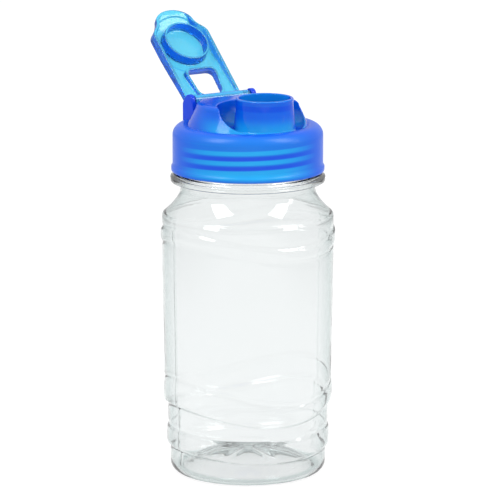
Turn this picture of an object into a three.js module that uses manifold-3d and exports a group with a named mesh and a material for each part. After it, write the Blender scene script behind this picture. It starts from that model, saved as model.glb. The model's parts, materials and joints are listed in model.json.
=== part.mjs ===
// A clear one-piece drinking bottle with a screw cap, a spout and a flip lid that doubles as a carry loop.
// Millimetres, +Z up. The origin is the middle of the base, on the plane that the bottle stands on.
// The spout is at the front (-Y), the lid's hinge at the back (+Y), and x = 0 is the plane of symmetry.
import * as THREE from "three";
import { mergeVertices } from "three/addons/utils/BufferGeometryUtils.js";
import Module from "manifold-3d";

// ---- Fineness -------------------------------------------------------------------------------------
const ROUND_STEPS = 40; // facets round the bottle and the cap
const THREAD_STEPS = 30; // facets in one turn of a thread
const SMALL_STEPS = 16; // facets round a pin or a barrel
const CURVE_STEPS = 4; // facets along one arc of a profile
const SHOULDER_STEPS = 6; // facets up the bottle's shoulder

// ---- Fits -----------------------------------------------------------------------------------------
const SEAT_GAP = 0.3; // between pieces that sit on each other
const SIDE_PLAY = 0.4; // each side of the lid's barrel, between the ears
const PIN_PLAY = 0.3; // round each hinge pin
const PLUG_PLAY = 0.5; // round the lid's plug, inside the spout
const THREAD_PLAY = 0.3; // crest of one thread to the wall that it faces
const RIM_PLAY = 0.2; // between the spout's rim and the lid's turned-down edge
const BURIED = 0.5; // how far a joined shape reaches into what carries it
const CLEAR = 1.0; // how far a cutting shape runs past what it cuts

// ---- Bottle ---------------------------------------------------------------------------------------
const BODY_RADIUS = 37.2; // of the plain label wall, at its middle
const LABEL_TAPER = 0.4; // the label wall is this much wider at its top and narrower at its foot
const UPPER_BAND_RISE = 1.0; // how far each raised band stands out from the body radius
const WAIST_BAND_RISE = -0.3;
const LOWER_BAND_RISE = -1.5;
const BASE_BAND_RISE = -3.1;
const GROOVE_DEPTH = 0.5;
const BAND_ROUNDING = 0.15; // how far a band's crest falls before its edge
const BAND_EDGE = 0.22; // share of a band's height that each of its edges takes
const LABEL_EDGE = 4.0; // height over which the label wall runs into each of its bands
const HEEL_RADIUS = 3.0;
const STANDING_RING_WIDTH = 2.0;
const PUSH_UP_HEIGHT = 9.0;
const BASE_BAND_HEIGHT = 10.0;
const LOWER_BAND_HEIGHT = 12.0;
const WAIST_BAND_HEIGHT = 24.0;
const LABEL_HEIGHT = 54.0;
const UPPER_BAND_HEIGHT = 13.5;
const SHOULDER_HEIGHT = 12.5;
const SHOULDER_LATENESS = 1.15; // above 1, the shoulder swells out nearer its foot
const COLLAR_HEIGHT = 3.4; // plain stretch between the shoulder and the bead
const BODY_WALL = 0.8;
const BASE_WALL = 1.4;

// ---- Neck finish ----------------------------------------------------------------------------------
const NECK_RADIUS = 29.9;
const NECK_WALL = 1.4;
const COLLAR_INSET = 0.4; // the collar under the bead is this much slimmer than the neck
const BEAD_REACH = 3.9;
const BEAD_HEIGHT = 2.4;
const BEAD_STEP_REACH = 2.7;
const BEAD_STEP_HEIGHT = 1.1;
const FINISH_HEIGHT = 16.7; // from the bead's step to the rim
const THREAD_PITCH = 4.23; // six turns to the inch
const NECK_THREAD_TURNS = 1.5;
const CAP_THREAD_TURNS = 1.75;
const THREAD_HEIGHT = 1.2;
const THREAD_ROOT = 2.0;
const THREAD_CREST = 1.1;
const THREAD_TOP_INSET = 2.3; // rim to the top end of the neck's thread
const THREAD_RUN_OUT = 0.08; // share of the thread's length over which each end fades

// ---- Seal -----------------------------------------------------------------------------------------
const SEAL_THICKNESS = 1.3;
const SEAL_OVERHANG = 0.3; // how far it reaches inside the bottle's mouth

// ---- Screw cap ------------------------------------------------------------------------------------
const CAP_WALL = 1.4;
const CAP_GAP = 1.0; // from the bead's step to the cap's bottom edge
const CAP_LIP_RISE = 0.6; // bottom lip, beyond the skirt
const CAP_LIP_HEIGHT = 2.2;
const SHOULDER_DROP = 4.6; // height of the cap's rounded shoulder
const SHOULDER_WIDTH = 4.4;
const DECK_RING_WIDTH = 2.0; // nearly flat ring inside the rounded shoulder
const RECESS_DEPTH = 0.6;
const DECK_WALL = 2.2;

// ---- Dome that carries the hinge ------------------------------------------------------------------
const DOME_HEIGHT = 10.4;
const DOME_LEAN = 4.6; // how much slimmer its top is than its foot, on the radius
const DOME_EDGE = 2.0; // rounding of its top edge
const DOME_EDGE_SPREAD = 0.8; // how far that rounding starts outside the lean's top
const DOME_WALL = 1.6;
const SCOOP_WIDTH = 8.1; // from the spout's rim to the upright wall of the hollow round it
const SCOOP_FLOOR = 1.0; // flat floor round the spout's foot
const HINGE_BAY = 3.2; // free space in front of the lid's barrel

// ---- Spout ----------------------------------------------------------------------------------------
const SPOUT_RADIUS = 12.5; // at the rim
const SPOUT_OVERRUN = 0.5; // how far its foot reaches past the edge of the recess
const SPOUT_FLARE = 0.9; // how much wider its foot is
const SPOUT_HEIGHT = 14.0;
const SPOUT_WALL = 1.3;
const SPOUT_BEAD = 0.35; // rolled edge at the rim

// ---- Hinge ----------------------------------------------------------------------------------------
const HINGE_INSET = 10.8; // from the back of the skirt to the hinge axis
const HINGE_RISE = 8.8; // of the hinge axis above the recess
const EAR_RADIUS = 2.9; // round top of each ear
const EAR_THICKNESS = 2.2;
const EAR_REAR = 4.8; // from the hinge axis to the ear's rear edge
const EAR_REAR_DROP = 1.45; // from the hinge axis down to the top of that edge
const EAR_ARC_START = Math.PI / 4;
const EAR_ARC_END = (Math.PI * 5) / 6;
const EAR_FRONT = 6.0; // from the hinge axis to the ear's front edge, at its foot
const BARREL_RADIUS = 2.4;
const PIN_RADIUS = 1.4;

// ---- Flip lid, described as it lies when closed ---------------------------------------------------
const LID_REAR_THICKNESS = 2.8;
const LID_HEAD_THICKNESS = 4.9;
const LID_TIP_THICKNESS = 1.2;
const LID_FLOOR = 1.6;
const LID_LIP = 1.5; // width of the turned-down edge
const LID_DROP = 1.5; // how far the edge reaches down past the spout's rim
const LID_REAR_WEB = 2.9; // solid stretch in front of the hinge axis
const LID_CROWN_LENGTH = 7.5; // thickest stretch of the lid
const LID_CROWN_LEAD = 2.5; // how far it runs on past where the sides turn in
const HEAD_SETBACK = 6.9; // from the front of the spout back to where the sides turn in
const NOSE_OVERHANG = 7.0; // from the front of the spout to the tip of the thumb tab
const NOSE_INSET = 4.6; // how much narrower the thumb tab is than the lid, each side
const NOSE_LENGTH = 5.6; // rounded end of the thumb tab
const NOSE_EASE = 3.6; // softness of the curve from the sides into the thumb tab
const NOSE_CORNER = 2.9; // how far the tab's sides hold on before they round over
const NOSE_TIP_HALF = 4.0; // how far the round-over holds on at the tip
const PLUG_HEIGHT = 2.9;
const PLUG_WALL = 1.2;
const FINGER_HOLE_START = 5.8; // from the hinge axis
const FINGER_HOLE_BRIDGE = 5.0; // between the finger hole and the plug
const FINGER_HOLE_REAR_HALF = 5.8;
const FINGER_HOLE_FRONT_HALF = 7.1;
const FINGER_HOLE_CORNER = 2.6;
const FINGER_HOLE_WALL = 1.2;
const LID_OPEN_ANGLE = 138.0; // degrees, from closed to open

// ---- Sizes that follow ----------------------------------------------------------------------------
const lowerBandZ = BASE_BAND_HEIGHT;
const waistBandZ = lowerBandZ + LOWER_BAND_HEIGHT;
const labelZ = waistBandZ + WAIST_BAND_HEIGHT;
const upperBandZ = labelZ + LABEL_HEIGHT;
const shoulderZ = upperBandZ + UPPER_BAND_HEIGHT;
const collarZ = shoulderZ + SHOULDER_HEIGHT;
const beadZ = collarZ + COLLAR_HEIGHT;
const beadStepZ = beadZ + BEAD_HEIGHT;
const finishZ = beadStepZ + BEAD_STEP_HEIGHT;
const rimZ = finishZ + FINISH_HEIGHT;
const mouthRadius = NECK_RADIUS - NECK_WALL;
const threadCrestRadius = NECK_RADIUS + THREAD_HEIGHT;
const neckThreadTopZ = rimZ - THREAD_TOP_INSET;

const capBottomZ = finishZ + CAP_GAP;
const capInnerRadius = threadCrestRadius + THREAD_PLAY;
const skirtRadius = capInnerRadius + CAP_WALL;
const sealZ = rimZ + SEAT_GAP;
const capCeilingZ = sealZ + SEAL_THICKNESS + SEAT_GAP;
const recessZ = capCeilingZ + DECK_WALL;
const deckZ = recessZ + RECESS_DEPTH;
const recessRadius = skirtRadius - SHOULDER_WIDTH - DECK_RING_WIDTH;

const spoutFootRadius = SPOUT_RADIUS + SPOUT_FLARE;
const spoutOffset = recessRadius + SPOUT_OVERRUN - spoutFootRadius; // bottle's axis to spout's axis
const hingeBack = skirtRadius - HINGE_INSET; // bottle's axis to hinge axis

const domeTopZ = recessZ + DOME_HEIGHT;
const spoutTopZ = recessZ + SPOUT_HEIGHT;
const boreRadius = SPOUT_RADIUS - SPOUT_WALL;
const hingeZ = recessZ + HINGE_RISE;
const lidHalfWidth = SPOUT_RADIUS + RIM_PLAY + LID_LIP;
const earInnerX = lidHalfWidth + SIDE_PLAY;

const plugReach = hingeBack + spoutOffset; // hinge axis to the plug's middle
const headReach = plugReach + SPOUT_RADIUS - HEAD_SETBACK;
const tipReach = plugReach + SPOUT_RADIUS + NOSE_OVERHANG;
const lidLipZ = spoutTopZ - LID_DROP - hingeZ; // underside of the closed lid's edge, above the hinge axis
const plugRadius = boreRadius - PLUG_PLAY;
const fingerHoleEnd = plugReach - plugRadius - FINGER_HOLE_BRIDGE;

// ---- Solids ---------------------------------------------------------------------------------------
const wasm = await Module();
wasm.setup();

function solid(geometry) {
  const bare = geometry.clone();
  bare.deleteAttribute("normal");
  bare.deleteAttribute("uv");
  const merged = mergeVertices(bare, 1e-4);
  return new wasm.Manifold(
    new wasm.Mesh({
      numProp: 3,
      vertProperties: merged.attributes.position.array,
      triVerts: new Uint32Array(merged.index.array),
    }),
  );
}

function geometryOf(body) {
  const mesh = body.getMesh();
  const geometry = new THREE.BufferGeometry();
  geometry.setAttribute("position", new THREE.BufferAttribute(mesh.vertProperties, 3));
  geometry.setIndex(new THREE.BufferAttribute(mesh.triVerts, 1));
  const flat = geometry.toNonIndexed();
  flat.computeVertexNormals();
  return flat;
}

function part(name, body, look) {
  const mesh = new THREE.Mesh(geometryOf(body), new THREE.MeshStandardMaterial(look));
  mesh.name = name;
  return mesh;
}

// Turns a profile of [radius, height] points about the Z axis; it starts and ends on the axis or on itself.
function turned(profile, steps = ROUND_STEPS) {
  const points = profile.map(([r, z]) => new THREE.Vector2(r, z));
  return solid(new THREE.LatheGeometry(points, steps).rotateX(Math.PI / 2));
}

// An outline in X and Y, raised from z = low to z = high.
function upright(outline, low, high) {
  const shape = new THREE.ExtrudeGeometry(outline, {
    depth: high - low,
    bevelEnabled: false,
    curveSegments: CURVE_STEPS,
  });
  return solid(shape.translate(0, 0, low));
}

// An outline in Y and Z, carried along X from x = low to x = high.
function sideways(outline, low, high) {
  const shape = new THREE.ExtrudeGeometry(outline, {
    depth: high - low,
    bevelEnabled: false,
    curveSegments: CURVE_STEPS,
  });
  shape.rotateX(Math.PI / 2);
  shape.rotateZ(Math.PI / 2);
  return solid(shape.translate(low, 0, 0));
}

// Points of a quarter-round from one [r, z] point to another, leaving along the radius or along the height.
function quarter([r0, z0], [r1, z1], leavesAlongRadius) {
  const points = [];
  for (let i = 0; i <= CURVE_STEPS; i += 1) {
    const a = (i / CURVE_STEPS) * (Math.PI / 2);
    const along = Math.sin(a);
    const across = 1 - Math.cos(a);
    const tr = leavesAlongRadius ? along : across;
    const tz = leavesAlongRadius ? across : along;
    points.push([r0 + (r1 - r0) * tr, z0 + (z1 - z0) * tz]);
  }
  return points;
}

// A thread: a straight bar with a trapezium section, wound downwards round the Z axis along a right-hand
// helix. Its root is buried in the wall at rootRadius, and both its ends taper into that wall.
function thread(rootRadius, inward, topZ, turns) {
  const side = inward ? -1 : 1;
  const section = new THREE.Shape([
    new THREE.Vector2(-BURIED * side, -THREAD_ROOT / 2),
    new THREE.Vector2(THREAD_HEIGHT * side, -THREAD_CREST / 2),
    new THREE.Vector2(THREAD_HEIGHT * side, THREAD_CREST / 2),
    new THREE.Vector2(-BURIED * side, THREAD_ROOT / 2),
  ]);
  const steps = Math.round(THREAD_STEPS * turns);
  const bar = new THREE.ExtrudeGeometry(section, { depth: 1, steps, bevelEnabled: false });
  const position = bar.attributes.position;
  for (let i = 0; i < position.count; i += 1) {
    const along = position.getZ(i);
    const fade = Math.min(1, along / THREAD_RUN_OUT, (1 - along) / THREAD_RUN_OUT);
    const proud = position.getX(i) * side;
    const reach = proud > 0 ? proud * fade - (BURIED / 2) * (1 - fade) : proud;
    const radius = rootRadius + side * reach;
    const turn = along * turns;
    const angle = -turn * 2 * Math.PI;
    const z = topZ + position.getY(i) - turn * THREAD_PITCH;
    position.setXYZ(i, radius * Math.cos(angle), radius * Math.sin(angle), z);
  }
  return solid(bar);
}

// Moves an open profile of [r, z] points, which climbs, towards the axis by the thickness of its wall.
function inset(profile, wall) {
  return profile.map(([r, z], i) => {
    const [r0, z0] = profile[Math.max(i - 1, 0)];
    const [r1, z1] = profile[Math.min(i + 1, profile.length - 1)];
    const length = Math.hypot(r1 - r0, z1 - z0);
    return [r - (wall * (z1 - z0)) / length, z + (wall * (r1 - r0)) / length];
  });
}

// One raised band of the bottle, from the groove below it up to its crest and down towards the next groove.
function band(crest, grooveBelow, bottomZ, height) {
  return [
    [grooveBelow, bottomZ],
    [crest - BAND_ROUNDING, bottomZ + height * BAND_EDGE],
    [crest, bottomZ + height / 2],
    [crest - BAND_ROUNDING, bottomZ + height * (1 - BAND_EDGE)],
  ];
}

// ---- Bottle ---------------------------------------------------------------------------------------
function makeBottle() {
  const base = BODY_RADIUS + BASE_BAND_RISE;
  const lower = BODY_RADIUS + LOWER_BAND_RISE;
  const waist = BODY_RADIUS + WAIST_BAND_RISE;
  const upper = BODY_RADIUS + UPPER_BAND_RISE;
  const labelFoot = BODY_RADIUS - LABEL_TAPER;
  const labelTop = BODY_RADIUS + LABEL_TAPER;
  const collar = NECK_RADIUS - COLLAR_INSET;
  const ringOuter = base - HEEL_RADIUS;
  const ringInner = ringOuter - STANDING_RING_WIDTH;
  const body = [
    ...quarter([ringOuter, 0], [base, HEEL_RADIUS], true),
    [base, lowerBandZ * (1 - BAND_EDGE)],
    ...band(lower, base + BAND_ROUNDING, lowerBandZ, LOWER_BAND_HEIGHT),
    ...band(waist, lower - GROOVE_DEPTH, waistBandZ, WAIST_BAND_HEIGHT),
    [labelFoot - 2 * BAND_ROUNDING, labelZ],
    [labelFoot, labelZ + LABEL_EDGE],
    [labelTop, upperBandZ - LABEL_EDGE],
    ...band(upper, labelTop - BAND_ROUNDING, upperBandZ, UPPER_BAND_HEIGHT),
  ];
  for (let i = 0; i <= SHOULDER_STEPS; i += 1) {
    const t = i / SHOULDER_STEPS;
    const fall = Math.pow(1 - t, SHOULDER_LATENESS);
    const swell = fall * fall * (3 - 2 * fall);
    body.push([collar + (labelTop - collar) * swell, shoulderZ + SHOULDER_HEIGHT * t]);
  }
  const neck = [
    [collar, beadZ],
    [NECK_RADIUS + BEAD_REACH, beadZ],
    [NECK_RADIUS + BEAD_REACH, beadStepZ],
    [NECK_RADIUS + BEAD_STEP_REACH, beadStepZ],
    [NECK_RADIUS + BEAD_STEP_REACH, finishZ],
    [NECK_RADIUS, finishZ],
    [NECK_RADIUS, rimZ],
    [mouthRadius, rimZ],
    [mouthRadius, beadZ],
  ];
  const underside = quarter([ringInner, 0], [0, PUSH_UP_HEIGHT], false).reverse();
  const floor = underside.slice(0, -1).map(([r, z]) => [r, z + BASE_WALL]);
  const inside = [...inset(body, BODY_WALL).reverse(), ...floor.reverse()];
  const neckThread = thread(NECK_RADIUS, false, neckThreadTopZ, NECK_THREAD_TURNS);
  return turned([...underside, ...body, ...neck, ...inside]).add(neckThread);
}

// ---- Seal -----------------------------------------------------------------------------------------
function makeSeal() {
  const inner = mouthRadius - SEAL_OVERHANG;
  const outer = capInnerRadius - SEAT_GAP;
  const top = sealZ + SEAL_THICKNESS;
  return turned([
    [inner, sealZ],
    [outer, sealZ],
    [outer, top],
    [inner, top],
    [inner, sealZ],
  ]);
}

// ---- Screw cap ------------------------------------------------------------------------------------
function capShell() {
  const lip = skirtRadius + CAP_LIP_RISE;
  const profile = [
    [0, capBottomZ],
    [lip, capBottomZ],
    [lip, capBottomZ + CAP_LIP_HEIGHT],
    [skirtRadius, capBottomZ + CAP_LIP_HEIGHT + CAP_LIP_RISE],
  ];
  const shoulderFoot = [skirtRadius, deckZ - SHOULDER_DROP];
  const shoulderHead = [skirtRadius - SHOULDER_WIDTH, deckZ];
  profile.push(...quarter(shoulderFoot, shoulderHead, false));
  profile.push([recessRadius, deckZ - RECESS_DEPTH / 2]);
  profile.push([recessRadius - RECESS_DEPTH / 2, recessZ]);
  profile.push([0, recessZ]);
  return turned(profile);
}

// The dome as a solid; shrink makes the smaller copy that hollows it.
function domeBody(shrink) {
  const foot = recessRadius - shrink;
  const head = foot - DOME_LEAN;
  const top = domeTopZ - shrink;
  const low = shrink > 0 ? capCeilingZ - CLEAR : recessZ - BURIED;
  const cone = turned([
    [0, low],
    [foot, low],
    [foot, recessZ],
    ...quarter([head + DOME_EDGE_SPREAD, top - DOME_EDGE], [head - DOME_EDGE, top], false),
    [0, top],
  ]);
  const scoopRadius = SPOUT_RADIUS + SCOOP_WIDTH + shrink;
  const scoopFloorRadius = spoutFootRadius + SCOOP_FLOOR + shrink;
  const floor = recessZ - shrink;
  const ceiling = domeTopZ + CLEAR;
  const scoop = turned([
    [0, floor],
    ...quarter([scoopFloorRadius, floor], [scoopRadius, top - DOME_EDGE], true),
    [scoopRadius, ceiling],
    [0, ceiling],
  ]).translate([0, -spoutOffset, 0]);
  const bayFront = hingeBack - BARREL_RADIUS - HINGE_BAY - shrink;
  const bay = upright(rectangle(-skirtRadius, bayFront, skirtRadius, skirtRadius), floor, ceiling);
  return cone.subtract(scoop).subtract(bay);
}

function rectangle(x0, y0, x1, y1) {
  return new THREE.Shape([
    new THREE.Vector2(x0, y0),
    new THREE.Vector2(x1, y0),
    new THREE.Vector2(x1, y1),
    new THREE.Vector2(x0, y1),
  ]);
}

function spoutOutside() {
  const low = recessZ - BURIED;
  return turned([
    [0, low],
    [spoutFootRadius, low],
    [spoutFootRadius, recessZ],
    [SPOUT_RADIUS - SPOUT_BEAD, spoutTopZ - 3 * SPOUT_BEAD],
    [SPOUT_RADIUS, spoutTopZ - 2 * SPOUT_BEAD],
    [SPOUT_RADIUS, spoutTopZ - SPOUT_BEAD],
    [SPOUT_RADIUS - SPOUT_BEAD, spoutTopZ],
    [0, spoutTopZ],
  ]).translate([0, -spoutOffset, 0]);
}

function spoutBore() {
  return turned([
    [0, capCeilingZ - CLEAR],
    [boreRadius, capCeilingZ - CLEAR],
    [boreRadius, spoutTopZ + CLEAR],
    [0, spoutTopZ + CLEAR],
  ]).translate([0, -spoutOffset, 0]);
}

// One ear of the hinge, on the side that has the given sign of x, with the hole that its pin snaps into.
function ear(sign) {
  const low = capCeilingZ + SEAT_GAP;
  const outline = new THREE.Shape();
  outline.moveTo(hingeBack - EAR_FRONT, low);
  outline.lineTo(hingeBack + EAR_REAR, low);
  outline.lineTo(hingeBack + EAR_REAR, hingeZ - EAR_REAR_DROP);
  outline.absarc(hingeBack, hingeZ, EAR_RADIUS, EAR_ARC_START, EAR_ARC_END, false);
  outline.closePath();
  const hole = new THREE.Path();
  hole.absarc(hingeBack, hingeZ, PIN_RADIUS + PIN_PLAY, 0, 2 * Math.PI, true);
  outline.holes.push(hole);
  const near = sign * earInnerX;
  const far = sign * (earInnerX + EAR_THICKNESS);
  return sideways(outline, Math.min(near, far), Math.max(near, far));
}

function makeCap() {
  const cavity = turned([
    [0, capBottomZ - CLEAR],
    [capInnerRadius, capBottomZ - CLEAR],
    [capInnerRadius, capCeilingZ],
    [0, capCeilingZ],
  ]);
  const outside = capShell().add(domeBody(0)).add(spoutOutside());
  const hollow = cavity.add(domeBody(DOME_WALL)).add(spoutBore());
  const shell = outside.add(ear(-1)).add(ear(1)).subtract(hollow);
  const capThreadTopZ = neckThreadTopZ - THREAD_PITCH / 2;
  return shell.add(thread(capInnerRadius, true, capThreadTopZ, CAP_THREAD_TURNS));
}

// ---- Flip lid -------------------------------------------------------------------------------------
// Everything here lies as when closed: the hinge axis is the X axis, and the tip points to -Y.
function lidOutline(inward) {
  const side = lidHalfWidth - inward;
  const nose = side - NOSE_INSET;
  const rear = BARREL_RADIUS - inward;
  const turnIn = -headReach;
  const noseStart = NOSE_LENGTH - tipReach;
  const tip = inward - tipReach;
  const outline = new THREE.Shape();
  outline.moveTo(-side, rear);
  outline.lineTo(-side, turnIn);
  outline.bezierCurveTo(-side, turnIn - NOSE_EASE, -nose, noseStart + NOSE_EASE, -nose, noseStart);
  outline.bezierCurveTo(-nose, noseStart - NOSE_CORNER, -NOSE_TIP_HALF, tip, 0, tip);
  outline.bezierCurveTo(NOSE_TIP_HALF, tip, nose, noseStart - NOSE_CORNER, nose, noseStart);
  outline.bezierCurveTo(nose, noseStart + NOSE_EASE, side, turnIn - NOSE_EASE, side, turnIn);
  outline.lineTo(side, rear);
  outline.closePath();
  return outline;
}

// The lid's side view between its lip and its crown, the crown lowered by the given amount.
function lidSlab(lowered, low) {
  const crownEnd = headReach + LID_CROWN_LEAD;
  const crown = new THREE.Shape();
  crown.moveTo(2 * BARREL_RADIUS, low);
  crown.lineTo(2 * BARREL_RADIUS, lidLipZ + LID_REAR_THICKNESS - lowered);
  crown.lineTo(0, lidLipZ + LID_REAR_THICKNESS - lowered);
  crown.lineTo(LID_CROWN_LENGTH - crownEnd, lidLipZ + LID_HEAD_THICKNESS - lowered);
  crown.lineTo(-crownEnd, lidLipZ + LID_HEAD_THICKNESS - lowered);
  crown.lineTo(-tipReach, lidLipZ + LID_TIP_THICKNESS - lowered);
  crown.lineTo(-tipReach - CLEAR, lidLipZ + LID_TIP_THICKNESS - lowered);
  crown.lineTo(-tipReach - CLEAR, low);
  crown.closePath();
  return sideways(crown, -2 * lidHalfWidth, 2 * lidHalfWidth);
}

function fingerHoleOutline(grow) {
  const front = FINGER_HOLE_FRONT_HALF + grow;
  const rear = FINGER_HOLE_REAR_HALF + grow;
  const start = -FINGER_HOLE_START + grow;
  const end = -fingerHoleEnd - grow;
  const corner = FINGER_HOLE_CORNER + grow;
  const spread = ((front - rear) * corner) / (start - end);
  const outline = new THREE.Shape();
  outline.moveTo(-rear + corner, start);
  outline.quadraticCurveTo(-rear, start, -rear - spread, start - corner);
  outline.lineTo(-front, end + corner);
  outline.quadraticCurveTo(-front, end, -front + corner, end);
  outline.lineTo(front - corner, end);
  outline.quadraticCurveTo(front, end, front, end + corner);
  outline.lineTo(rear + spread, start - corner);
  outline.quadraticCurveTo(rear, start, rear - corner, start);
  outline.closePath();
  return outline;
}

function makeLid() {
  const high = lidLipZ + LID_HEAD_THICKNESS + CLEAR;
  const low = lidLipZ - CLEAR;
  const slab = upright(lidOutline(0), lidLipZ, high).intersect(lidSlab(0, low));
  const panFront = rectangle(-lidHalfWidth, -tipReach, lidHalfWidth, -LID_REAR_WEB);
  const panLength = upright(panFront, low, high).intersect(lidSlab(LID_FLOOR, low));
  const pan = upright(lidOutline(LID_LIP), low, high).intersect(panLength);
  const collar = upright(fingerHoleOutline(FINGER_HOLE_WALL), lidLipZ, high).intersect(slab);
  const hole = upright(fingerHoleOutline(0), low, high);
  const floorAtPlug = lidLipZ + LID_REAR_THICKNESS - LID_FLOOR;
  const plugLow = floorAtPlug + BURIED - PLUG_HEIGHT;
  const plugHigh = lidLipZ + LID_HEAD_THICKNESS - LID_FLOOR + BURIED;
  const plug = turned([
    [plugRadius - PLUG_WALL, plugLow],
    [plugRadius - PLUG_PLAY / 2, plugLow],
    [plugRadius, plugHigh],
    [plugRadius - PLUG_WALL, plugHigh],
    [plugRadius - PLUG_WALL, plugLow],
  ]).translate([0, -plugReach, 0]);
  const barrel = pinAlongX(BARREL_RADIUS, lidHalfWidth);
  const pins = pinAlongX(PIN_RADIUS, earInnerX + EAR_THICKNESS);
  const webOutline = rectangle(-BARREL_RADIUS, 0, BARREL_RADIUS, lidLipZ + BURIED);
  const web = sideways(webOutline, -lidHalfWidth, lidHalfWidth);
  return slab.subtract(pan).add(collar).subtract(hole).add(plug).add(web).add(barrel).add(pins);
}

function pinAlongX(radius, halfLength) {
  const pin = new THREE.CylinderGeometry(radius, radius, 2 * halfLength, SMALL_STEPS);
  return solid(pin.rotateZ(Math.PI / 2));
}

// ---- Assembly -------------------------------------------------------------------------------------
const group = new THREE.Group();
group.add(part("bottle", makeBottle(), { color: 0xeef2f3, roughness: 0.05, metalness: 0 }));
group.add(part("seal_ring", makeSeal(), { color: 0xe8eef2, roughness: 0.6, metalness: 0 }));
group.add(part("screw_cap", makeCap(), { color: 0x2d70e6, roughness: 0.45, metalness: 0 }));

const lid = part("flip_lid", makeLid(), { color: 0x4ab4f0, roughness: 0.25, metalness: 0 });
lid.position.set(0, hingeBack, hingeZ);
lid.rotation.x = THREE.MathUtils.degToRad(-LID_OPEN_ANGLE);
group.add(lid);

export default group;
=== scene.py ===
import json
import math

import bmesh
import bpy
from mathutils import Matrix, Vector


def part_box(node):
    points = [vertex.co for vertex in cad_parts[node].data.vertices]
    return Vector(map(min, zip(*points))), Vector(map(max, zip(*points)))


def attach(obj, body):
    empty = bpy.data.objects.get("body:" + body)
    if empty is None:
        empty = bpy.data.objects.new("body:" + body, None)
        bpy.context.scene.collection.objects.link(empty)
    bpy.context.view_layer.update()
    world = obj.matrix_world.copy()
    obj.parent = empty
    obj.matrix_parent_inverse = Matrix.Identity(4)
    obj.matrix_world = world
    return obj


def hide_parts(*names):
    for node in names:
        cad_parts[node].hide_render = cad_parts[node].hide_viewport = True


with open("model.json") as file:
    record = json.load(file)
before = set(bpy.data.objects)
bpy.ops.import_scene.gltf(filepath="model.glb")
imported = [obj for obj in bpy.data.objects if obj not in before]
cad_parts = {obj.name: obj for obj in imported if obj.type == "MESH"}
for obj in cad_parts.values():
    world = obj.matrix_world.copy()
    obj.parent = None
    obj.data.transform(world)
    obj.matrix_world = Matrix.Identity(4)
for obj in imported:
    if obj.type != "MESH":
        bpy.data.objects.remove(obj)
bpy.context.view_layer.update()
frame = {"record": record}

# ---- Lengths below are in millimetres; every mesh is scaled to metres as it is finished -----------
MM = 0.001

# ---- Places that follow from the frame -------------------------------------------------------------
BOTTLE_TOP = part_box("bottle")[1].z / MM
CAP_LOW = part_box("screw_cap")[0].z / MM
CAP_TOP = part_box("screw_cap")[1].z / MM
CAP_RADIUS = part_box("screw_cap")[1].x / MM
SEAL_LOW, SEAL_HIGH = (corner.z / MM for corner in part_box("seal_ring"))
SEAL_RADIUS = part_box("seal_ring")[1].x / MM
JOINTS = {joint["name"]: joint for joint in frame["record"]["behaviour"]["joints"]}
LID_JOINT = JOINTS["lid_hinge"]
HINGE = Vector(LID_JOINT["pos_m"]) / MM
LID_SWING = LID_JOINT["range_deg"][1]

# ---- Bottle ----------------------------------------------------------------------------------------
BOTTLE_STEPS = 240
WALL = 0.75
INNER_CRISP = 0.7
BASE_RADIUS = 34.1
LOW_RIBBON_RADIUS = 35.6
WAIST_RADIUS = 35.15
WAVE_RIBBON_RADIUS = 36.7
LABEL_FOOT_RADIUS = 36.8
LABEL_TOP_RADIUS = 37.5
UPPER_RIBBON_RISE = 0.65
LABEL_SWELL_FROM = 46
LABEL_SWELL_OVER = 56
LABEL_LOW = 50
LABEL_HIGH = 97
FINE_ROW = 0.62
COARSE_ROW = 3.6
SHOULDER_FOOT_Z = 113.8
SHOULDER_KNEE = 0.115
SHOULDER_KNEE_DROP = 0.05
SHOULDER_START = 1.165
SHOULDER_EASE = 1.669
COLLAR_RADIUS = 29.5
COLLAR_Z = 126.0
BEAD_Z = 129.4
BEAD_RADIUS = 33.8
BEAD_STEP_Z = 131.8
BEAD_STEP_RADIUS = 32.6
FINISH_Z = 132.9
NECK_RADIUS = 29.9
MOUTH_RADIUS = 28.5
HEEL_RADIUS = 4.2
PUSH_UP = 9.0
PUSH_UP_ROWS = 26
FLOOR_THICKNESS = 1.1
BASE_RIB_HEIGHT = 0.38
RING_INNER = 28.9
RING_OUTER = 30.4

# Lines that sweep round the body: middle height, swing above and below it, degrees turned
BASE_LINE = (11.2, 1.2, -8)
LOW_LINE = (20.2, 0.6, 0)
WAIST_LINE = (30.2, 3.6, -2)
WAIST_LEAN = 1.6
RIBBON_TOP_LINE = (39.3, 4.9, 3)
UPPER_FOOT_LINE = (102.9, 3.1, 10)
UPPER_TOP_LINE = (107.8, 3.0, 5)
RIBBON_SWELL = 0.35
SEAM_HEIGHT = 0.28
SEAM_SPREAD = 0.0004

# ---- Threads ---------------------------------------------------------------------------------------
PITCH = 4.23
THREAD_HEIGHT = 1.15
THREAD_HALF_WIDTH = 1.0
THREAD_FLANK = 0.5
THREAD_RUN_OUT = 0.08
NECK_THREAD_TOP = 147.3
NECK_THREAD_TURNS = 1.5
CAP_THREAD_TOP = NECK_THREAD_TOP - PITCH / 2
CAP_THREAD_TURNS = 1.75

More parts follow.
